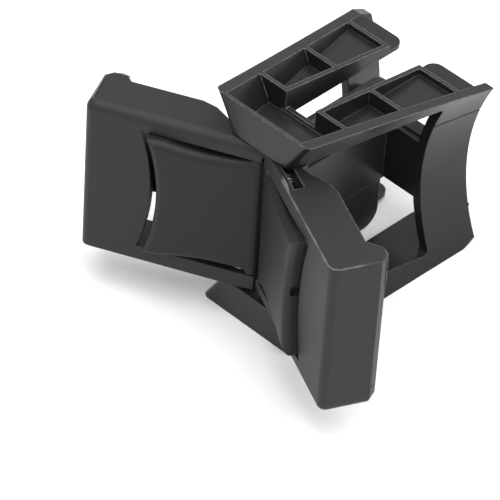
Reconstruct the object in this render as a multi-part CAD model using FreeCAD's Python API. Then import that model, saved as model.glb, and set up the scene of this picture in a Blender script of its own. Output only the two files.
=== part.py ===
import FreeCAD, Part
import math
import os
from FreeCAD import Vector

os.makedirs("parts", exist_ok=True)

# Cup holder divider: a moulded frame between two round cup wells, with two sprung
# paddles in a V and a smaller sprung flap in the face of each paddle.
# Design frame: X from cup to cup, Y into the depth of the console, Z along the hinges.
# Half a turn about Y carries the right paddle with all its pieces onto the left one.
# The last step lays the lower tray rim flat on z = 0.

# Cup wells and depth of the frame
well_radius = 40.5
mid_front = 3.4
mid_back = 11.75
frame_depth = 41.7
wall = 1.8
front_corner = 1.3
corner_cut_length = 2.8
corner_cut_height = 0.9

# Chamber and side windows
chamber_half = 16.6
window_margin = 9.8
window_corner = 1.0

# End trays, measured outwards from the chamber
floor_thick = 0.9
tray_front = 7.0
tray_back = 1.1
front_wall = 0.65
rib = 0.9
rib_places = (10.2, 22.7, 35.4)
slot_half = 3.5
arm_wall = 0.9
arm_short = 2.0
arm_corner = 2.0
sill_height = 1.0
lip_height = 0.5
lip_depth = 0.4
pad_height = 0.3
pad_width = 2.0
pad_margin = 0.9
groove_front = 5.6
groove_slope = 0.138
groove_width = 0.3

# Middle web, spine and cross web
web_half = 0.5
web_start = 5.6
web_corner = 3.5
spine_half = 0.9
spine_start = 6.4
spine_height = 6.6
cross_depth = 3.9
cross_wall = 1.2
cross_step = 0.4
line_height = 11.6
line_width = 0.3
line_depth = 0.2

# Hinges, in the frame of a paddle: s runs out along its face, n runs in behind it
lean = 25.5
valley = 1.28
valley_gap = 0.35
hinge_s = 3.6
hinge_n = 3.5
pin_radius = 1.0
running = 0.06
ear_radius = 1.9
ear_drop = 2.2
ear_gap = 0.2

# Paddles
paddle_gap = 0.3
paddle_length = 32.8
paddle_thick = 8.2
lip_rise = 2.4
lip_width = 3.4
lip_round = 1.5
lip_ramp = 2.2
bevel_end = 14.0
paddle_wall = 1.5
side_wall = 2.4
end_wall = 1.6
back_wall = 1.4
knuckle = 3.2
knuckle_wall = 0.9
corner_round = 1.5
low_round = 1.8
high_round = 0.35
root_step = 1.4
band_long = 7.0
band_short = 4.6
band_rib = 1.1
shelf_drop = 7.2
shelf_thick = 1.6

# Flaps
strip = 3.2
flap_gap = 0.3
pocket_reach = 20.15
finger_gap = 1.25
grip_ratio = 3.125
side_radius = 40.0
flap_wall = 1.4
flap_end_wall = 1.2
flap_depth = 4.0
flap_roll = 1.4
flap_sag = 0.9
flap_open = 6.9
flap_pin_s = 1.3
flap_pin_n = 1.45
flap_pin_radius = 0.5
barrel = 1.4
barrel_gap = 0.25
catch_half = 1.1
catch_depth = 1.0
catch_front = 1.1
flap_rib = 0.8
flap_rib_place = 6.0

# Springs
wire = 0.5
coil_radius = 1.8
coil_turns = 7
coil_pitch = 0.66
leg_window = (45.0, 110.0, 180.0)
moving_leg = 6.6
fixed_leg = 6.6
stop_rib = 1.1
stop_length = 3.0
flap_wire = 0.3
flap_coil = 0.7
flap_turns = 6
flap_pitch = 0.4
flap_leg_angle = 40.0
flap_long_leg = 6.6
flap_short_leg = 0.9
spring_gap = 0.1
coil_room_gap = 0.3
wire_sides = 6
turn_steps = 12

# Sizes that follow from those above
window_back = frame_depth - window_margin
floor_top = chamber_half + floor_thick
rim_front = chamber_half + tray_front
rim_back = chamber_half + tray_back
arm_end = frame_depth - arm_short
paddle_half = chamber_half - paddle_gap
pocket_half = paddle_half - strip
flap_half = pocket_half - flap_gap
grip_radius = grip_ratio * flap_half
flap_reach = pocket_reach - finger_gap
shelf_high = paddle_half - shelf_drop
coil_low = shelf_high + 0.5 * wire + spring_gap
flap_spring_low = -0.5 * flap_turns * flap_pitch
coil_room = coil_radius + 0.5 * wire + coil_room_gap
far = 1.5 * well_radius


def box(x0, x1, y0, y1, z0, z1):
    return Part.makeBox(x1 - x0, y1 - y0, z1 - z0, Vector(x0, y0, z0))


def rod(radius, x, y, z0, z1):
    return Part.makeCylinder(radius, z1 - z0, Vector(x, y, z0), Vector(0, 0, 1))


def prism(points, z0, z1):
    corners = [Vector(x, y, z0) for x, y in points]
    face = Part.Face(Part.makePolygon(corners + corners[:1]))
    return face.extrude(Vector(0, 0, z1 - z0))


def mirror_x(shape):
    return shape.mirror(Vector(0, 0, 0), Vector(1, 0, 0))


def mirror_z(shape):
    return shape.mirror(Vector(0, 0, 0), Vector(0, 0, 1))


def half_turn(shape):
    turned = shape.copy()
    turned.rotate(Vector(0, 0, 0), Vector(0, 1, 0), 180)
    return turned


def edges_near(shape, test):
    found = []
    for edge in shape.Edges:
        middle = edge.valueAt(0.5 * (edge.FirstParameter + edge.LastParameter))
        if test(middle):
            found.append(edge)
    return found


def close(first, second):
    return abs(first - second) < 0.01


# The two wells are cylinders that lean outwards with the depth
flare = math.atan2(mid_back - mid_front, frame_depth)
flare_sin = math.sin(flare)
flare_cos = math.cos(flare)


def well(offset):
    start = Vector(mid_front + well_radius * flare_cos, -well_radius * flare_sin, 0)
    along = Vector(flare_sin, flare_cos, 0)
    return Part.makeCylinder(well_radius + offset, 2 * far, start - along * far, along)


def wells(offset):
    right = well(offset)
    return [right, mirror_x(right)]


def rim_at(y):
    return rim_front + (rim_back - rim_front) * y / frame_depth


# Frame shell: a tapered bar between the wells, its front corners rounded
side_points = [(0, -rim_front), (frame_depth, -rim_back), (frame_depth, rim_back), (0, rim_front)]
side_corners = [Vector(-far, y, z) for y, z in side_points]
side_face = Part.Face(Part.makePolygon(side_corners + side_corners[:1]))
outline = side_face.extrude(Vector(2 * far, 0, 0)).cut(wells(0.0))
front_edges = edges_near(outline, lambda m: close(m.y, 0) and abs(m.z) < 1.0)
frame = outline.makeFillet(front_corner, front_edges)

# The ends of two diagonal rims are cut off at a slant
cut_start = frame_depth - corner_cut_length
cut_points = [
    (cut_start, -rim_at(cut_start)),
    (frame_depth, corner_cut_height - rim_back),
    (far, corner_cut_height - rim_back),
    (far, -far),
    (cut_start, -far),
]
cut_corners = [Vector(0, y, z) for y, z in cut_points]
corner_cut = Part.Face(Part.makePolygon(cut_corners + cut_corners[:1])).extrude(Vector(far, 0, 0))
frame = frame.cut([corner_cut, half_turn(corner_cut)])

chamber = box(-far, far, -far, far, -chamber_half, chamber_half).cut(wells(wall))
window = box(-far, far, -far, window_back, -chamber_half, chamber_half)
window_edges = edges_near(window, lambda m: close(m.y, window_back) and close(abs(m.z), chamber_half))
window = window.makeFillet(window_corner, window_edges)
frame = frame.cut([chamber, window])

# Trays: one pocket across the front, two in each arm and an open slot between the arms
first, second, third = rib_places
half_rib = 0.5 * rib
arm_in = slot_half + arm_wall
pockets = [box(-far, far, front_wall, first - half_rib, floor_top, far)]
for x0, x1 in ((arm_in, far), (-far, -arm_in)):
    pockets.append(box(x0, x1, first + half_rib, second - half_rib, floor_top, far))
    pockets.append(box(x0, x1, second + half_rib, third - half_rib, floor_top, far))
pockets.append(box(-far, far, third + half_rib, far, floor_top, far))
pockets = [pocket.cut(wells(wall)) for pocket in pockets]
slot = box(-slot_half, slot_half, first + half_rib, far, chamber_half - floor_thick, far)
sill = box(-slot_half, slot_half, first - rib, first + rib, floor_top + sill_height, far)

# The floors of the arms stop short of the back and have a rounded inner corner
arm_points = [(slot_half, 0), (far, 0), (far, arm_end), (slot_half, arm_end)]
arm_floor = prism(arm_points, chamber_half - floor_thick, floor_top + floor_thick)
inner_corner = edges_near(arm_floor, lambda m: close(m.x, slot_half) and close(m.y, arm_end))
arm_floor = arm_floor.makeFillet(arm_corner, inner_corner)
tail_front = arm_end - arm_corner - 0.5
tail = box(-far, far, tail_front, far, chamber_half - 0.5 * floor_thick, floor_top + 0.5 * floor_thick)
tail = tail.cut(wells(wall)).cut([arm_floor, mirror_x(arm_floor)])

tray_cuts = pockets + [slot, sill, tail]
frame = frame.cut(tray_cuts)
frame = frame.cut([mirror_z(cut) for cut in tray_cuts])

# Low lip along the foot of the first rib
lip_front = first - half_rib - lip_depth
lip = box(-arm_in, far, lip_front, first, floor_top - 0.5 * floor_thick, floor_top + lip_height)
tray_parts = [lip.cut(wells(0.5 * wall))]


# Raised pads on the floors, with a fine groove that follows the well
def groove_at(y):
    return groove_front + groove_slope * y


def pad(inner, outer, y0, y1):
    points = [(inner(y0), y0), (outer(y0), y0), (outer(y1), y1), (inner(y1), y1)]
    return prism(points, floor_top - 0.5 * floor_thick, floor_top + pad_height).cut(wells(wall - 0.5))


def outside_groove(y):
    return groove_at(y) + 0.5 * groove_width


def inside_groove(y):
    return groove_at(y) - 0.5 * groove_width


def strip_edge(y):
    return outside_groove(y) + pad_width


def strip_start(y):
    return max(inside_groove(y) - pad_width, arm_in)


def platform_start(y):
    return -inside_groove(y)


front_pads = (front_wall + pad_margin, lip_front - pad_margin)
arm_pads = (first + half_rib + 0.5 * pad_margin, second - half_rib - pad_margin)
tray_parts.append(pad(platform_start, inside_groove, *front_pads))
for inner, outer, rows in (
    (outside_groove, strip_edge, front_pads),
    (outside_groove, strip_edge, arm_pads),
    (strip_start, inside_groove, arm_pads),
):
    piece = pad(inner, outer, *rows)
    tray_parts.append(piece)
    tray_parts.append(mirror_x(piece))
tray_parts = tray_parts + [mirror_z(piece) for piece in tray_parts]

# Middle web with a thicker spine, and the cross web between the back walls
web_half_height = chamber_half + 0.5 * floor_thick
web = box(-web_half, web_half, web_start, window_back, -web_half_height, web_half_height)
web_edges = edges_near(web, lambda m: close(m.y, window_back) and close(abs(m.z), web_half_height))
web = web.makeFillet(web_corner, web_edges)
spine = box(-spine_half, spine_half, spine_start, window_back + 0.5 * cross_wall, -spine_height, spine_height)
cross_back = window_back + cross_depth
inside_height = spine_height - cross_wall
cross = box(-far, far, window_back, cross_back, -spine_height, spine_height)
cross_hollow = box(-far, far, window_back + cross_wall, far, -inside_height, inside_height)
cross_hollow = cross_hollow.cut(wells(wall + 0.8))
step_height = spine_height - cross_step
step = box(-far, far, window_back - cross_wall, window_back + cross_wall, step_height, far)
cross = cross.cut([cross_hollow, step, mirror_z(step)]).cut(wells(0.5))

# Ears for the hinge pins, and a stop rib for the fixed leg of each paddle spring
lean_cos = math.cos(math.radians(lean))
lean_sin = math.sin(math.radians(lean))
hinge_x = hinge_s * lean_cos + hinge_n * lean_sin
hinge_y = valley - hinge_s * lean_sin + hinge_n * lean_cos
ear = rod(ear_radius, hinge_x, hinge_y, chamber_half - ear_drop, chamber_half + 0.5 * floor_thick)
ears = [ear, mirror_x(ear), mirror_z(ear), half_turn(ear)]
stop_x = hinge_x - coil_radius - 0.5 * wire - 0.5 * spring_gap
stop_y = hinge_y + knuckle + 0.8
leg_height = coil_low + coil_pitch * (coil_turns - (270.0 + lean) / 360.0)
stop_low = leg_height - wire
stop = box(stop_x - stop_rib, stop_x, stop_y, stop_y + stop_length, stop_low, chamber_half + 0.5 * floor_thick)
frame = frame.fuse([web, spine, cross, stop, half_turn(stop)] + ears + tray_parts)

pin_half = chamber_half + 0.5 * floor_thick
pin_bore = rod(pin_radius, hinge_x, hinge_y, -pin_half, pin_half)
frame = frame.cut([pin_bore, half_turn(pin_bore)])

# Fine mould line across each back wall
mould_line = box(0, far, window_back, far, line_height - 0.5 * line_width, line_height + 0.5 * line_width)
mould_line = mould_line.common(well(line_depth))
frame = frame.cut([mould_line, half_turn(mould_line)])
frame = frame.removeSplitter()


# Right paddle, drawn with s as X and n as Y, then set at its lean
def on_knuckle(angle, radius):
    turn = math.radians(angle)
    return Vector(hinge_s + radius * math.cos(turn), hinge_n + radius * math.sin(turn), 0)


lip_thick = paddle_thick + lip_rise
bevel_start = hinge_s + knuckle + 1.5
outline_points = [
    Vector(paddle_length, 0, 0),
    Vector(paddle_length, lip_thick - lip_round, 0),
    Vector(paddle_length - lip_round, lip_thick, 0),
    Vector(paddle_length - lip_width, lip_thick, 0),
    Vector(paddle_length - lip_width - lip_ramp, paddle_thick, 0),
    Vector(bevel_end, paddle_thick, 0),
    Vector(0.5 * (bevel_start + bevel_end), paddle_thick - 0.8, 0),
    Vector(bevel_start, hinge_n + 0.56 * knuckle, 0),
    on_knuckle(20, knuckle),
]
face_start = Vector(valley_gap, 0, 0)
segments = [Part.makeLine(face_start, outline_points[0])]
for start, end in zip(outline_points[:-1], outline_points[1:]):
    segments.append(Part.makeLine(start, end))
knuckle_end = on_knuckle(180, knuckle)
segments.append(Part.Arc(outline_points[-1], on_knuckle(100, knuckle), knuckle_end).toShape())
segments.append(Part.makeLine(knuckle_end, face_start))
paddle = Part.Face(Part.Wire(Part.__sortEdges__(segments))).extrude(Vector(0, 0, 2 * paddle_half))
paddle.translate(Vector(0, 0, -paddle_half))

# The lower end is well rounded, the upper end left sharp at the parting plane
corner_edges = edges_near(paddle, lambda m: close(m.x, paddle_length) and close(m.y, 0))
paddle = paddle.makeFillet(corner_round, corner_edges)
for radius, end in ((low_round, -paddle_half), (high_round, paddle_half)):
    end_edges = edges_near(paddle, lambda m: close(m.z, end) and (m.y < 0.5 or m.x > paddle_length - lip_width))
    paddle = paddle.makeFillet(radius, end_edges)

# Hollow from behind, with a closed knuckle round the hinge pin
inner_z = paddle_half - side_wall
hollow_start = hinge_s + knuckle
hollow_end = paddle_length - end_wall
hollow_points = [
    (hollow_start, paddle_wall),
    (hollow_end, paddle_wall),
    (hollow_end, far),
    (bevel_end + 0.4, far),
    (bevel_end + 0.4, paddle_thick - back_wall),
    (bevel_end - 2.4, paddle_thick - back_wall - 0.9),
    (hollow_start + 1.8, hinge_n + 0.5),
    (hollow_start, hinge_n + 0.5),
]
hollow = prism(hollow_points, -inner_z, inner_z)
root_hollow = rod(knuckle - knuckle_wall, hinge_s, hinge_n, -inner_z, inner_z)
neck = box(hinge_s, hollow_start + 0.2, paddle_wall, hinge_n + 0.5, -inner_z, inner_z)
paddle = paddle.cut([hollow, root_hollow, neck])


# Plan of pocket and flap: straight sides and a concave grip edge
def grip_plan(reach, half, front, back):
    body = box(-far, reach + knuckle, front, back, -half, half)
    scoop = Part.makeCylinder(grip_radius, 4 * far, Vector(reach + grip_radius, -2 * far, 0), Vector(0, 1, 0))
    return body.cut(scoop)


pocket = grip_plan(pocket_reach, pocket_half, -1, paddle_wall + 0.5)
root_open = box(-far, hinge_s - 0.4, -1, hinge_n - pin_radius, -pocket_half, pocket_half)
paddle = paddle.cut([pocket, root_open])

# Shelves that carry the hinge pin, a closed band across the back and its ribs
shelf_points = [
    (knuckle_end.x + 0.5, paddle_wall + 0.5),
    (bevel_end - 2.0, paddle_wall + 0.5),
    (bevel_end - 2.0, paddle_thick - back_wall),
    (bevel_start, hinge_n + 0.5 * knuckle),
    (hinge_s, hinge_n + knuckle - 0.5 * knuckle_wall),
    (knuckle_end.x + 0.5, hinge_n + 1.0),
]
shelf = prism(shelf_points, shelf_high - shelf_thick, shelf_high)
band_start = bevel_end - 3.0
band_back = paddle_thick - back_wall
band = box(band_start, hollow_end + 0.5 * end_wall, band_back, paddle_thick, -band_long, band_short)
parts_inside = [shelf, mirror_z(shelf), band]
deep_start = pocket_reach + 3.5
shallow_front = paddle_thick - 2 * back_wall
for z0 in (-band_long, band_short - band_rib):
    z1 = z0 + band_rib
    parts_inside.append(box(deep_start, hollow_end + 0.5 * end_wall, paddle_wall - 0.5, paddle_thick, z0, z1))
    parts_inside.append(box(band_start + 1.0, deep_start + 0.2, shallow_front, paddle_thick, z0, z1))
paddle = paddle.fuse(parts_inside)

# Recess in the upper end for the coil, the slot of its moving leg and the window of the fixed leg
ear_room = ear_radius + ear_gap
recess_wall = paddle_wall - 0.25
recess = rod(max(coil_room, ear_room), hinge_s, hinge_n, shelf_high, far)
recess_root = box(flap_pin_s + flap_pin_radius + 0.6, hinge_s, recess_wall, hinge_n + 1.0, shelf_high, far)
root_top = box(2.5 * valley_gap, hinge_s, 2.5 * valley_gap, hinge_n + 1.0, paddle_half - root_step, far)
leg_slot = box(hinge_s, hinge_s + moving_leg + 1.2, recess_wall, hinge_n - 0.4, shelf_high, far)
lower_room = rod(ear_room, hinge_s, hinge_n, -far, ear_drop + ear_gap - chamber_half)
wedge_points = [(hinge_s, hinge_n)]
for angle in leg_window:
    corner = on_knuckle(angle, 2 * knuckle)
    wedge_points.append((corner.x, corner.y))
leg_gap = prism(wedge_points, shelf_high, far).common(rod(knuckle + 1, hinge_s, hinge_n, 0, far))
hinge_bore = rod(pin_radius + running, hinge_s, hinge_n, -far, far)
flap_pin_half = paddle_half - root_step - 0.2
flap_bore = rod(flap_pin_radius, flap_pin_s, flap_pin_n, -flap_pin_half, flap_pin_half)
barrel_room = rod(barrel + barrel_gap, flap_pin_s, flap_pin_n, -pocket_half, pocket_half)
paddle = paddle.cut([recess, recess_root, root_top, leg_slot, lower_room, leg_gap])
paddle = paddle.cut([hinge_bore, flap_bore, barrel_room])
paddle = paddle.removeSplitter()

# Right flap, drawn shut: rolled and slightly hollow edges, a skirt towards the grip edge and a full barrel
flap = grip_plan(flap_reach, flap_half, 0, flap_depth)
side_scoop_z = flap_half + side_radius - flap_sag
side_scoop_foot = Vector(0.5 * flap_reach, -2 * far, side_scoop_z)
side_scoop = Part.makeCylinder(side_radius, 4 * far, side_scoop_foot, Vector(0, 1, 0))
flap = flap.common(box(flap_pin_s, far, -1, far, -far, far)).cut([side_scoop, mirror_z(side_scoop)])
roll_edges = edges_near(flap, lambda m: close(m.y, 0) and m.x > flap_pin_s + 0.1)
flap = flap.makeFillet(flap_roll, roll_edges)
skirt_in = flap_reach - flap_end_wall
flap_hollow = grip_plan(skirt_in, flap_half - flap_sag - 1.0, flap_wall, far)
skirt_drop = box(-far, skirt_in - 3.0, 2.0 * flap_wall, far, -far, far)
flap_root = box(-far, hinge_s + pin_radius + 2.0, flap_wall, far, -far, far)
flap = flap.cut([flap_hollow, skirt_drop, flap_root])
flap_parts = [rod(barrel, flap_pin_s, flap_pin_n, -flap_half, flap_half)]
rib_top = flap_pin_n + flap_coil - 0.5 * flap_wire - 0.5 * spring_gap
for z in (-flap_rib_place, flap_spring_low, flap_rib_place):
    z0 = z - 0.5 * flap_rib
    rib_start = hinge_s + pin_radius + 1.8
    flap_parts.append(box(rib_start, skirt_in + 0.5, flap_wall - 0.2, rib_top, z0, z0 + flap_rib))
flap = flap.fuse(flap_parts)
flap_hole = rod(flap_pin_radius + running, flap_pin_s, flap_pin_n, -far, far)
spring_half = 0.5 * flap_turns * flap_pitch + flap_wire + coil_room_gap
spring_room = rod(flap_coil + flap_wire, flap_pin_s, flap_pin_n, -spring_half, spring_half)
spring_back = flap_pin_n - flap_pin_radius
spring_open = box(-far, flap_pin_s + barrel + 0.4, spring_back, far, -spring_half, spring_half)
catch = box(flap_reach - catch_depth, far, catch_front, far, -catch_half, catch_half)
flap = flap.cut([flap_hole, spring_room, spring_open, catch])
flap = flap.removeSplitter()
flap.rotate(Vector(flap_pin_s, flap_pin_n, 0), Vector(0, 0, 1), -flap_open)
flap = flap.cut(rod(coil_room, hinge_s, hinge_n, shelf_high - 0.5 * coil_room_gap, far))


# Springs: sections of the wire set along a helix with a straight leg at each end
def spring(radius, thick, wound, pitch, first_leg, last_leg):
    steps = int(math.ceil(turn_steps * wound / 360.0))
    path = [(Vector(radius, -first_leg, 0), Vector(0, 1, 0))]
    for step in range(steps + 1):
        turn = math.radians(wound) * step / steps
        place = Vector(radius * math.cos(turn), radius * math.sin(turn), pitch * wound / 360.0 * step / steps)
        path.append((place, Vector(-math.sin(turn), math.cos(turn), 0)))
    end, along = path[-1]
    path.append((end + along * last_leg, along))
    sections = []
    for place, along in path:
        across = along.cross(Vector(0, 0, 1)) * (0.5 * thick)
        upwards = Vector(0, 0, 0.5 * thick)
        corners = []
        for side in range(wire_sides):
            angle = 2 * math.pi * side / wire_sides
            corners.append(place + across * math.cos(angle) + upwards * math.sin(angle))
        sections.append(Part.makePolygon(corners + corners[:1]))
    return Part.makeLoft(sections, True, True)


def lay_right(shape):
    shape.rotate(Vector(0, 0, 0), Vector(0, 0, 1), -lean)
    shape.translate(Vector(0, valley, 0))
    return shape


# Paddle spring: left-hand coil on the hinge pin. Its lower leg presses the paddle's face
# wall from behind, its upper leg runs straight back beside the stop rib.
paddle_wound = 360.0 * coil_turns - 270.0 - lean
paddle_spring = spring(coil_radius, wire, paddle_wound, coil_pitch, moving_leg, fixed_leg)
paddle_spring = paddle_spring.mirror(Vector(0, 0, 0), Vector(0, 1, 0))
paddle_spring.rotate(Vector(0, 0, 0), Vector(0, 0, 1), -90 - lean)
paddle_spring.translate(Vector(hinge_x, hinge_y, coil_low))

# Flap spring: its lower leg lies on a rib behind the flap, its upper leg bears on the knuckle
flap_wound = 360.0 * flap_turns - flap_leg_angle
flap_spring = spring(flap_coil, flap_wire, flap_wound, flap_pitch, flap_long_leg, flap_short_leg)
flap_spring.rotate(Vector(0, 0, 0), Vector(0, 0, 1), 90 - flap_open)
flap_spring.translate(Vector(flap_pin_s, flap_pin_n, flap_spring_low))

right_side = {
    "paddle": lay_right(paddle),
    "flap": lay_right(flap),
    "hinge_pin": rod(pin_radius, hinge_x, hinge_y, -pin_half, pin_half),
    "flap_pin": lay_right(rod(flap_pin_radius, flap_pin_s, flap_pin_n, -flap_pin_half, flap_pin_half)),
    "paddle_spring": paddle_spring,
    "flap_spring": lay_right(flap_spring),
}
nodes = {"frame": frame}
for name, shape in right_side.items():
    nodes[name + "_right"] = shape
    nodes[name + "_left"] = half_turn(shape)

# Lay the lower rim flat on the ground, with the origin under the middle of the whole part
rest_angle = math.degrees(math.atan2(rim_front - rim_back, frame_depth))
for shape in nodes.values():
    shape.rotate(Vector(0, 0, -rim_front), Vector(1, 0, 0), -rest_angle)
    shape.translate(Vector(0, 0, rim_front))
extent = Part.makeCompound(list(nodes.values())).optimalBoundingBox(False, False)
middle = 0.5 * (extent.YMin + extent.YMax)
for name, shape in nodes.items():
    shape.translate(Vector(0, -middle, 0))
    shape.exportStep("parts/" + name + ".step")
    print(name, round(shape.Volume, 1), shape.isValid(), len(shape.Solids))
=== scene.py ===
import math
import random

import bpy
from mathutils import Matrix, Vector


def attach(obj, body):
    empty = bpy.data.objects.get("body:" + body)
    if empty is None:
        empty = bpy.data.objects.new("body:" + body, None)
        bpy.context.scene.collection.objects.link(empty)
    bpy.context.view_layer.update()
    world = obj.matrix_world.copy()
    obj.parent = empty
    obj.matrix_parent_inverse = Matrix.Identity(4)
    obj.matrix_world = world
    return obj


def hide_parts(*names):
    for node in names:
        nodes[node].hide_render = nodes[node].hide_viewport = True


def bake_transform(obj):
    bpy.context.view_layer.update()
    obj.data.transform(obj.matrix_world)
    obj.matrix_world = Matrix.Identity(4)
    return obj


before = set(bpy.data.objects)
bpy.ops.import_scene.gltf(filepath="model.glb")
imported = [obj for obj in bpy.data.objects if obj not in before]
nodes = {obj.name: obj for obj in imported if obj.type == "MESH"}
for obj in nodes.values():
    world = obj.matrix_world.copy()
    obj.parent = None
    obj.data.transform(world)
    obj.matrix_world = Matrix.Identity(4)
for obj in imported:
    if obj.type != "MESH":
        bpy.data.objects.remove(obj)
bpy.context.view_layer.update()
print("frame loaded:", len(nodes), "nodes")


# how the part lies: drawn upright about its hinge line, it leans back onto its lower rim

seat = {
    "lean": 8.053,
    "rimDrop": 0.0236,  # from the middle of the hinge line down to the lower rim
    "frontRim": -0.0179617,  # the step that brings the leaned part over the frame's middle
}
leanBack = Matrix.Rotation(-math.radians(seat["lean"]), 3, "X")
hingeAxis = Vector((0.0, 0.140092, 0.990139))


def settle(place):
    return leanBack @ (place + Vector((0, 0, seat["rimDrop"]))) + Vector((0, seat["frontRim"], 0))


# small helpers for objects, tubes and node materials

def addObject(name, data):
    thing = bpy.data.objects.new(name, data)
    bpy.context.scene.collection.objects.link(thing)
    return thing


def tube(name, places, thickness, rounding, material):
    curve = bpy.data.curves.new(name, "CURVE")
    curve.dimensions = "3D"
    curve.bevel_depth = thickness
    curve.bevel_resolution = rounding
    curve.use_fill_caps = True
    line = curve.splines.new("POLY")
    line.points.add(len(places) - 1)
    for point, place in zip(line.points, places):
        point.co = (*place, 1.0)
    curve.materials.append(material)
    return curve


def newMaterial(name):
    material = bpy.data.materials.new(name)
    material.use_nodes = True
    tree = material.node_tree
    shader = tree.nodes["Principled BSDF"]
    return material, tree, shader


def addNode(tree, kind, place, **inputs):
    node = tree.nodes.new(kind)
    node.location = place
    for key, value in inputs.items():
        node.inputs[key.replace("_", " ")].default_value = value
    return node


def feed(tree, socket, value):
    if isinstance(value, bpy.types.NodeSocket):
        tree.links.new(value, socket)
    else:
        socket.default_value = value


def combine(tree, kind, operation, place, first, second):
    node = addNode(tree, kind, place)
    node.operation = operation
    feed(tree, node.inputs[0], first)
    feed(tree, node.inputs[1], second)
    return node.outputs["Value"]


def multiply(tree, place, first, second):
    return combine(tree, "ShaderNodeMath", "MULTIPLY", place, first, second)


def larger(tree, place, first, second):
    return combine(tree, "ShaderNodeMath", "MAXIMUM", place, first, second)


def dotProduct(tree, place, first, second):
    return combine(tree, "ShaderNodeVectorMath", "DOT_PRODUCT", place, first, second)


def ramp(tree, place, source, stops):
    node = addNode(tree, "ShaderNodeValToRGB", place)
    for element, (position, grey) in zip(node.color_ramp.elements, stops):
        element.position = position
        element.color = (grey, grey, grey, 1.0)
    feed(tree, node.inputs["Fac"], source)
    return node.outputs["Color"]


def noise(tree, place, source, scale, detail):
    node = addNode(tree, "ShaderNodeTexNoise", place, Scale=scale, Detail=detail)
    feed(tree, node.inputs["Vector"], source)
    return node.outputs["Fac"]


def mapRange(tree, place, source, **ends):
    node = addNode(tree, "ShaderNodeMapRange", place, **ends)
    feed(tree, node.inputs["Value"], source)
    return node.outputs["Result"]


def mixColours(tree, place, amount, first, second):
    node = addNode(tree, "ShaderNodeMix", place)
    node.data_type = "RGBA"
    feed(tree, node.inputs[0], amount)
    feed(tree, node.inputs[6], first)
    feed(tree, node.inputs[7], second)
    return node.outputs[2]


def opaque(colour):
    return (*colour, 1.0)


# black mouldings: spark-eroded grain over slow sink marks, rubbed edges and pale torn flash that are partly
# painted edge highlights, a little dust

wearAndHighlight = {
    "bevelSamples": 6,
    "rubbedEdge": [(0.80, 1.0), (0.985, 0.0)],
    "rubPatches": [(0.35, 0.15), (0.62, 1.0)],
    "flashEdge": [(0.90, 1.0), (0.998, 0.0)],
    "flashPatches": [(0.36, 0.35), (0.56, 1.0)],
    "flashRise": 0.0004,
    "rubDetail": 5.0, "cloudDetail": 3.0, "grainDetail": 2.0, "sinkDetail": 1.0,
}


# torn flash: broken pale edges, only above a height along the hinge line; the pale colour is partly a
# painted edge highlight
def tornFlashAndHighlight(tree, look, spot, sharpness, rub):
    height = dotProduct(tree, (-1300, -1400), spot, hingeAxis)
    start = look["flashFrom"]
    band = mapRange(tree, (-1100, -1400), height, From_Min=start, From_Max=start + wearAndHighlight["flashRise"])
    edge = ramp(tree, (-900, -1550), sharpness, wearAndHighlight["flashEdge"])
    torn = ramp(tree, (-900, -1250), rub, wearAndHighlight["flashPatches"])
    flash = multiply(tree, (-700, -1450), band, edge)
    flash = multiply(tree, (-500, -1450), flash, torn)
    return multiply(tree, (-300, -1450), flash, look["flash"])


# dust specks, a few to the square centimetre
def dust(tree, look, spot):
    cells = addNode(tree, "ShaderNodeTexVoronoi", (-1100, -1750), Scale=look["speckScale"])
    feed(tree, cells.inputs["Vector"], spot)
    speck = ramp(tree, (-900, -1750), cells.outputs["Distance"], [(0.0, 1.0), (look["speckSize"], 0.0)])
    return multiply(tree, (-500, -1750), speck, look["speck"])


def relief(tree, look, spot, normal):
    grain = noise(tree, (-1100, -900), spot, look["grainScale"], wearAndHighlight["grainDetail"])
    sink = noise(tree, (-1100, -1150), spot, look["sinkScale"], wearAndHighlight["sinkDetail"])
    layers = (
        ((-600, -900), grain, look["grainStrength"], look["grainDepth"]),
        ((-300, -900), sink, look["sinkStrength"], look["sinkDepth"]),
    )
    for place, height, strength, depth in layers:
        bump = addNode(tree, "ShaderNodeBump", place, Strength=strength, Distance=depth)
        feed(tree, bump.inputs["Height"], height)
        feed(tree, bump.inputs["Normal"], normal)
        normal = bump.outputs["Normal"]
    return normal


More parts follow.
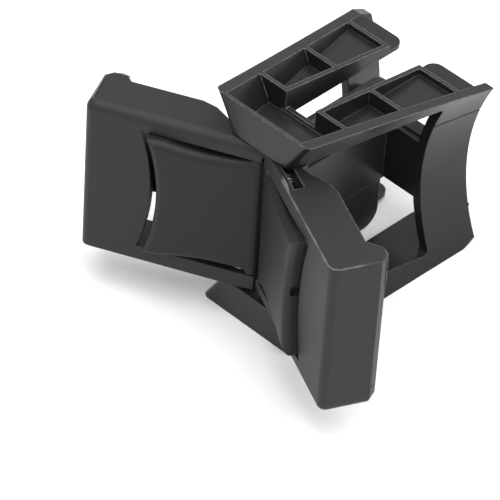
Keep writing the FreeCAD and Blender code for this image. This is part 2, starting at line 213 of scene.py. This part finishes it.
def mouldedPlastic(name, look):
    material, tree, shader = newMaterial(name)
    spot = addNode(tree, "ShaderNodeTexCoord", (-1500, 0)).outputs["Object"]

    # an edge is where the true normal and the rounded one part
    bevel = addNode(tree, "ShaderNodeBevel", (-1300, -500), Radius=look["edgeRadius"])
    bevel.samples = wearAndHighlight["bevelSamples"]
    rounded = bevel.outputs["Normal"]
    true = addNode(tree, "ShaderNodeNewGeometry", (-1300, -700)).outputs["Normal"]
    sharpness = dotProduct(tree, (-1100, -600), rounded, true)
    # lighter rubbed edges: real wear in patches, and partly a painted highlight along the edges
    rub = noise(tree, (-1100, -300), spot, look["rubScale"], wearAndHighlight["rubDetail"])
    edge = ramp(tree, (-900, -600), sharpness, wearAndHighlight["rubbedEdge"])
    patches = ramp(tree, (-900, -300), rub, wearAndHighlight["rubPatches"])
    rubbedAndHighlit = multiply(tree, (-600, -450), edge, patches)

    # colour: flow clouds, then the rubbed edges, partly a painted edge highlight, then pale flash, partly a
    # painted highlight, and dust
    clouds = noise(tree, (-1100, 300), spot, look["cloudScale"], wearAndHighlight["cloudDetail"])
    colour = mixColours(tree, (-600, 300), clouds, opaque(look["dark"]), opaque(look["light"]))
    colour = mixColours(tree, (-300, 200), rubbedAndHighlit, colour, opaque(look["edge"]))
    flash = tornFlashAndHighlight(tree, look, spot, sharpness, rub)
    # dust specks are real; the pale colour of the flash is partly a painted highlight
    bright = larger(tree, (-100, -1450), flash, dust(tree, look, spot))
    colour = mixColours(tree, (-100, 200), bright, colour, opaque(look["bright"]))
    feed(tree, shader.inputs["Base Color"], colour)

    # gloss follows the clouds
    dullest = look["roughness"] + look["roughnessSpread"]
    glossiest = look["roughness"] - look["roughnessSpread"]
    gloss = mapRange(tree, (-600, 0), clouds, To_Min=glossiest, To_Max=dullest)
    feed(tree, shader.inputs["Roughness"], gloss)
    feed(tree, shader.inputs["Normal"], relief(tree, look, spot, rounded))
    shader.inputs["Specular IOR Level"].default_value = look["specular"]
    return material


# strength of the pale flash colour, which is partly a painted edge highlight
bareFlashHighlight = 0.25
rimFlashHighlight = 0.3
noFlashHighlight = 0.0
# pale colour shared by dust specks and the flash; on the flash it is partly a painted highlight
pale = {"bright": (0.42, 0.42, 0.42), "speckScale": 150.0, "speckSize": 0.035, "speck": 0.35}

# edge is the lighter colour of rubbed edges, partly a painted edge highlight
frameLook = {
    **pale, "flash": rimFlashHighlight, "flashFrom": 0.0392,
    "dark": (0.0105, 0.0105, 0.011), "light": (0.015, 0.015, 0.0157), "edge": (0.07, 0.07, 0.07),
    "roughness": 0.30, "roughnessSpread": 0.04, "specular": 0.27, "edgeRadius": 0.00028,
    "rubScale": 900.0, "cloudScale": 160.0,
    "grainScale": 5200.0, "grainStrength": 0.22, "grainDepth": 0.00004,
    "sinkScale": 130.0, "sinkStrength": 0.25, "sinkDepth": 0.0004,
}
paddleLook = {
    **pale, "flash": bareFlashHighlight, "flashFrom": 0.0366,
    "dark": (0.012, 0.012, 0.0127), "light": (0.016, 0.016, 0.0168), "edge": (0.06, 0.06, 0.06),
    "roughness": 0.50, "roughnessSpread": 0.05, "specular": 0.27, "edgeRadius": 0.00035,
    "rubScale": 800.0, "cloudScale": 110.0,
    "grainScale": 4600.0, "grainStrength": 0.2, "grainDepth": 0.00004,
    "sinkScale": 90.0, "sinkStrength": 0.2, "sinkDepth": 0.0004,
}
flapLook = {
    **pale, "flash": noFlashHighlight, "flashFrom": 0.0365,
    "dark": (0.0105, 0.0105, 0.011), "light": (0.0145, 0.0145, 0.0152), "edge": (0.05, 0.05, 0.05),
    "roughness": 0.48, "roughnessSpread": 0.05, "specular": 0.22, "edgeRadius": 0.0003,
    "rubScale": 850.0, "cloudScale": 130.0,
    "grainScale": 5000.0, "grainStrength": 0.2, "grainDepth": 0.00004,
    "sinkScale": 100.0, "sinkStrength": 0.2, "sinkDepth": 0.0004,
}
# pale plastic for the flash beads, which are partly painted edge highlights
paleLook = {
    **paddleLook, "flash": noFlashHighlight, "cloudScale": 900.0,
    "dark": (0.08, 0.08, 0.08), "light": (0.20, 0.20, 0.20),
}
framePlastic = mouldedPlastic("framePlastic", frameLook)
palePlastic = mouldedPlastic("palePlastic", paleLook)
paddlePlastic = mouldedPlastic("paddlePlastic", paddleLook)
flapPlastic = mouldedPlastic("flapPlastic", flapLook)


# drawn steel for pins and springs: fine lines along the wire, a little oil

def drawnSteel(name, look):
    material, tree, shader = newMaterial(name)
    spot = addNode(tree, "ShaderNodeTexCoord", (-1300, 0)).outputs["Object"]
    stretch = addNode(tree, "ShaderNodeMapping", (-1100, 0), Scale=look["lineStretch"])
    feed(tree, stretch.inputs["Vector"], spot)
    lines = noise(tree, (-900, 0), stretch.outputs["Vector"], look["lineScale"], look["lineDetail"])
    film = noise(tree, (-900, 300), spot, look["filmScale"], look["filmDetail"])
    tint = mixColours(tree, (-500, 300), film, opaque(look["dark"]), opaque(look["light"]))
    feed(tree, shader.inputs["Base Color"], tint)
    gloss = mapRange(tree, (-500, 0), lines, To_Min=look["roughnessLow"], To_Max=look["roughnessHigh"])
    feed(tree, shader.inputs["Roughness"], gloss)
    bump = addNode(tree, "ShaderNodeBump", (-500, -300), Strength=look["lineStrength"])
    bump.inputs["Distance"].default_value = look["lineDepth"]
    feed(tree, bump.inputs["Height"], lines)
    feed(tree, shader.inputs["Normal"], bump.outputs["Normal"])
    shader.inputs["Metallic"].default_value = 1.0
    return material


drawing = {"lineDetail": 4.0, "filmDetail": 3.0, "lineStrength": 0.3, "lineDepth": 0.00002}
pinLook = {
    **drawing, "dark": (0.34, 0.34, 0.35), "light": (0.52, 0.52, 0.53),
    "lineStretch": (1.0, 1.0, 0.06), "lineScale": 9000.0, "filmScale": 500.0,
    "roughnessLow": 0.22, "roughnessHigh": 0.42,
}
springLook = {
    **drawing, "dark": (0.40, 0.40, 0.41), "light": (0.62, 0.62, 0.63),
    "lineStretch": (1.0, 1.0, 1.0), "lineScale": 6000.0, "filmScale": 700.0,
    "roughnessLow": 0.30, "roughnessHigh": 0.50,
}
pinSteel = drawnSteel("pinSteel", pinLook)
springSteel = drawnSteel("springSteel", springLook)

finishes = {
    "frame": framePlastic, "paddle": paddlePlastic, "flap": flapPlastic,
    "hinge_pin": pinSteel, "flap_pin": pinSteel, "paddle_spring": springSteel, "flap_spring": springSteel,
}
for nodeName, nodeObject in nodes.items():
    kind = nodeName.replace("_right", "").replace("_left", "")
    nodeObject.data.materials.clear()
    nodeObject.data.materials.append(finishes[kind])
print("finishes set")


# springs: round wire on the same path as the plain coils of the model

wirePath = {"legSteps": 4, "stepDegrees": 15, "rounding": 3}
paddleSpring = {
    "radius": 0.0018, "wire": 0.0005, "pitch": 0.00066, "wound": 2224.5,
    "firstLeg": 0.0066, "lastLeg": 0.0066, "mirrored": True,
    "turn": -115.5, "place": (0.0047561, 0.0028892, 0.00945),
}
flapSpring = {
    "radius": 0.0007, "wire": 0.0003, "pitch": 0.0004, "wound": 2120.0,
    "firstLeg": 0.0066, "lastLeg": 0.0009, "mirrored": False,
    "turn": 57.6, "place": (0.0017976, 0.0020291, -0.0012),
}


def coil(spring):
    radius = spring["radius"]
    legSteps = wirePath["legSteps"]
    points = [Vector((radius, -spring["firstLeg"] * (1 - step / legSteps), 0)) for step in range(legSteps)]
    steps = int(spring["wound"] / wirePath["stepDegrees"])
    for step in range(steps + 1):
        turn = math.radians(spring["wound"]) * step / steps
        rise = spring["pitch"] * spring["wound"] / 360 * step / steps
        points.append(Vector((radius * math.cos(turn), radius * math.sin(turn), rise)))
    end = math.radians(spring["wound"])
    along = Vector((-math.sin(end), math.cos(end), 0))
    last = points[-1]
    points += [last + along * spring["lastLeg"] * (step + 1) / legSteps for step in range(legSteps)]
    return points


def layWire(name, points, spring, node):
    places = [settle(point) for point in points]
    curve = tube(name, places, spring["wire"] / 2, wirePath["rounding"], springSteel)
    line = addObject(name + "Line", curve)
    bpy.context.view_layer.update()
    mesh = bpy.data.meshes.new_from_object(line)
    bpy.data.objects.remove(line)
    for polygon in mesh.polygons:
        polygon.use_smooth = True
    wire = addObject(name, mesh)
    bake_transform(wire)
    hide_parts(node)


def addSprings():
    for kind, spring in (("paddle", paddleSpring), ("flap", flapSpring)):
        turn = Matrix.Rotation(math.radians(spring["turn"]), 3, "Z")
        points = []
        for point in coil(spring):
            if spring["mirrored"]:
                point.y = -point.y
            points.append(turn @ point + Vector(spring["place"]))
        for side, sign in (("right", 1), ("left", -1)):
            laid = [Vector((sign * point.x, point.y, sign * point.z)) for point in points]
            layWire(kind + "Wire_" + side, laid, spring, kind + "_spring_" + side)


addSprings()
print("springs wound")


# small moulding remains: a gate pip on the spine and torn tabs of flash

pipMesh = {"segments": 12, "rings": 8}
pips = {
    "spinePip": {
        "body": "frame_body",
        "place": (0.00092, 0.00965, 0.01655), "size": (0.0001, 0.00028, 0.00028),
    },
    "plateTab": {
        "body": "frame_body",
        "place": (0.0131, 0.0252, 0.0070), "size": (0.00025, 0.0002, 0.0004),
    },
    "rootTab": {
        "body": "paddle_right_body",
        "place": (0.00785, -0.00915, 0.0380), "size": (0.0002, 0.0003, 0.00025),
    },
    "tipTab": {
        "body": "paddle_right_body",
        "place": (0.0333, -0.02035, 0.0118), "size": (0.00015, 0.00015, 0.0004),
    },
}


def addPips():
    for name, pip in pips.items():
        bpy.ops.mesh.primitive_uv_sphere_add(
            segments=pipMesh["segments"], ring_count=pipMesh["rings"], radius=1.0)
        bead = bpy.context.object
        bead.name = name
        bead.data.name = name
        bead.scale = pip["size"]
        bead.location = pip["place"]
        bpy.ops.object.transform_apply(location=False, rotation=False, scale=True)
        bpy.ops.object.shade_smooth()
        onFrame = pip["body"] == "frame_body"
        bead.data.materials.append(framePlastic if onFrame else paddlePlastic)
        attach(bead, pip["body"])


addPips()
print("moulding marks added")


# torn flash: thin uneven beads of pale plastic along the parting edges of the paddles, partly standing for
# painted edge highlights
# a route is given along the paddle, behind its face and up, and the left one is half a turn round

leaf = {"lean": 25.5, "valley": 0.00128}
beadShape = {"swell": 0.4, "follow": 0.45, "skew": 1.6, "gain": 1.6, "fadePoints": 3, "least": 0.1, "rounding": 1}
flashHighlightBeads = {
    "faceFlash_right": {
        "body": "paddle_right_body", "sign": 1, "seed": 11,
        "step": 0.00045, "thin": 0.00007, "thick": 0.00017,
        "route": [
            (0.0075, 0.0001, 0.0162), (0.0311, 0.0001, 0.0162), (0.0322, 0.0005, 0.0162),
            (0.0327, 0.0016, 0.0162), (0.0327, 0.0076, 0.0162),
        ],
    },
    "rootFlash_right": {
        "body": "paddle_right_body", "sign": 1, "seed": 5,
        "step": 0.0005, "thin": 0.00008, "thick": 0.00026,
        "route": [(0.0072, 0.0005, 0.0163), (0.0096, 0.0004, 0.01632), (0.0126, 0.0002, 0.0163)],
    },
    "edgeFlash_right": {
        "body": "paddle_right_body", "sign": 1, "seed": 7,
        "step": 0.0005, "thin": 0.00007, "thick": 0.00015,
        "route": [
            (0.0286, 0.01055, 0.0162), (0.0311, 0.0106, 0.0162),
            (0.0314, 0.0106, 0.0155), (0.0314, 0.0106, 0.0085),
        ],
    },
    "tipFlash_left": {
        "body": "paddle_left_body", "sign": -1, "seed": 23,
        "step": 0.0005, "thin": 0.00011, "thick": 0.0002,
        "route": [
            (0.0309, 0.0009, -0.01612), (0.0320, 0.0018, -0.01612),
            (0.0320, 0.0076, -0.01617), (0.0311, 0.0086, -0.01635),
        ],
    },
    "lipFlash_left": {
        "body": "paddle_left_body", "sign": -1, "seed": 31,
        "step": 0.0005, "thin": 0.00018, "thick": 0.00028,
        "route": [
            (0.0313, 0.0088, -0.0163), (0.0300, 0.0094, -0.0163),
            (0.0283, 0.0094, -0.0163), (0.0266, 0.0084, -0.0163),
        ],
    },
}


def onPaddle(place, sign):
    out, behind, rise = place
    turn = math.radians(leaf["lean"])
    across = out * math.cos(turn) + behind * math.sin(turn)
    depth = leaf["valley"] - out * math.sin(turn) + behind * math.cos(turn)
    return settle(Vector((sign * across, depth, sign * rise)))


def beadPlaces(bead):
    places = []
    for start, end in zip(bead["route"][:-1], bead["route"][1:]):
        start, end = Vector(start), Vector(end)
        count = max(1, int((end - start).length / bead["step"]))
        places += [start.lerp(end, index / count) for index in range(count)]
    return [onPaddle(place, bead["sign"]) for place in places]


def swellBead(points, bead):
    dice = random.Random(bead["seed"])
    thinnest = bead["thin"] / bead["thick"]
    last = len(points) - 1
    swell = beadShape["swell"]
    for index, point in enumerate(points):
        fade = min(1.0, index / beadShape["fadePoints"], (last - index) / beadShape["fadePoints"])
        swell = swell + beadShape["follow"] * (dice.random() ** beadShape["skew"] - swell)
        share = min(1.0, beadShape["gain"] * swell)
        point.radius = max(beadShape["least"], fade * (thinnest + (1 - thinnest) * share))


def addFlashHighlights():
    for name, bead in flashHighlightBeads.items():
        curve = tube(name, beadPlaces(bead), bead["thick"], beadShape["rounding"], palePlastic)
        swellBead(curve.splines[0].points, bead)
        strip = addObject(name, curve)
        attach(strip, bead["body"])


addFlashHighlights()
print("flash laid")


# floor: a plain pale sheet under the rim that the part rests on

floor = {
    "size": 3.0, "grey": 0.93, "greySpread": 0.01, "fibreScale": 60.0, "fibreDetail": 4.0,
    "roughness": 0.9, "specular": 0.1,
}


def makeFloor():
    half = floor["size"] / 2
    mesh = bpy.data.meshes.new("floor")
    corners = [(-half, -half, 0), (half, -half, 0), (half, half, 0), (-half, half, 0)]
    mesh.from_pydata(corners, [], [(0, 1, 2, 3)])
    sheet = addObject("floor", mesh)
    material, tree, shader = newMaterial("floorPaper")
    spot = addNode(tree, "ShaderNodeTexCoord", (-900, 0)).outputs["Object"]
    fibre = noise(tree, (-700, 0), spot, floor["fibreScale"], floor["fibreDetail"])
    darkest = floor["grey"] - floor["greySpread"]
    shade = ramp(tree, (-500, 0), fibre, [(0.0, darkest), (1.0, floor["grey"])])
    feed(tree, shader.inputs["Base Color"], shade)
    shader.inputs["Roughness"].default_value = floor["roughness"]
    shader.inputs["Specular IOR Level"].default_value = floor["specular"]
    mesh.materials.append(material)


makeFloor()
print("floor laid")


# soft studio light: a pale room, shown white behind the part, and five large lamps

room = {"light": 0.5, "shown": 1.0, "target": (0.0, 0.0, 0.02)}
lamps = {
    "keyLamp": {"place": (0.09, -0.6, 0.85), "size": 0.6, "watts": 2.4},
    "topLamp": {"place": (-0.22, -0.06, 1.0), "size": 0.5, "watts": 2.0},
    "leftLamp": {"place": (-0.45, 0.0, 1.1), "size": 1.6, "watts": 2.0},
    "backLamp": {"place": (0.45, 0.3, 1.05), "size": 1.5, "watts": 18.0},
    "sideLamp": {"place": (0.95, -0.25, 0.35), "size": 0.6, "watts": 1.0},
}


def lightRoom():
    world = bpy.data.worlds.new("room")
    world.use_nodes = True
    bpy.context.scene.world = world
    tree = world.node_tree
    tree.nodes.clear()
    white = (1.0, 1.0, 1.0, 1.0)
    lit = addNode(tree, "ShaderNodeBackground", (0, 100), Color=white, Strength=room["light"])
    shown = addNode(tree, "ShaderNodeBackground", (0, -100), Color=white, Strength=room["shown"])
    ray = addNode(tree, "ShaderNodeLightPath", (-200, 300))
    seen = ray.outputs["Is Camera Ray"]
    for column, kind in enumerate(("Is Glossy Ray", "Is Transmission Ray")):
        seen = larger(tree, (150 * column, 300), seen, ray.outputs[kind])
    mix = addNode(tree, "ShaderNodeMixShader", (400, 0))
    for socket, source in zip(mix.inputs, (seen, lit.outputs[0], shown.outputs[0])):
        feed(tree, socket, source)
    out = addNode(tree, "ShaderNodeOutputWorld", (600, 0))
    feed(tree, out.inputs["Surface"], mix.outputs[0])


def hangLamps():
    target = Vector(room["target"])
    for name, lamp in lamps.items():
        data = bpy.data.lights.new(name, "AREA")
        data.shape = "DISK"
        data.size = lamp["size"]
        data.energy = lamp["watts"]
        holder = addObject(name, data)
        holder.location = lamp["place"]
        holder.rotation_mode = "QUATERNION"
        holder.rotation_quaternion = (target - Vector(lamp["place"])).to_track_quat("-Z", "Y")


lightRoom()
hangLamps()
print("lamps placed")


# camera, set in the upright frame of the part and then leaned with it

camera = {
    "azimuth": 42.44, "elevation": 41.10, "roll": 3.96, "distance": 0.6849,
    "right": -0.000674, "up": -0.004359,  # the picture's middle, off the origin of the upright frame
    "lens": 286.0, "sensor": 36.0, "near": 0.05, "far": 10.0,
}


def placeCamera():
    azimuth = math.radians(camera["azimuth"])
    elevation = math.radians(camera["elevation"])
    roll = math.radians(camera["roll"])
    outward = math.cos(elevation)
    back = Vector((outward * math.sin(azimuth), -outward * math.cos(azimuth), math.sin(elevation)))
    level = Vector((math.cos(azimuth), math.sin(azimuth), 0.0))
    rise = back.cross(level)
    right = level * math.cos(roll) + rise * math.sin(roll)
    up = rise * math.cos(roll) - level * math.sin(roll)
    place = settle(right * camera["right"] + up * camera["up"] + back * camera["distance"])
    turned = Matrix((leanBack @ right, leanBack @ up, leanBack @ back)).transposed()
    data = bpy.data.cameras.new("camera")
    data.lens = camera["lens"]
    data.sensor_width = camera["sensor"]
    data.clip_start = camera["near"]
    data.clip_end = camera["far"]
    holder = addObject("camera", data)
    holder.matrix_world = Matrix.Translation(place) @ turned.to_4x4()
    bpy.context.scene.camera = holder


placeCamera()
bpy.context.scene.view_settings.view_transform = "Standard"
print("camera placed")
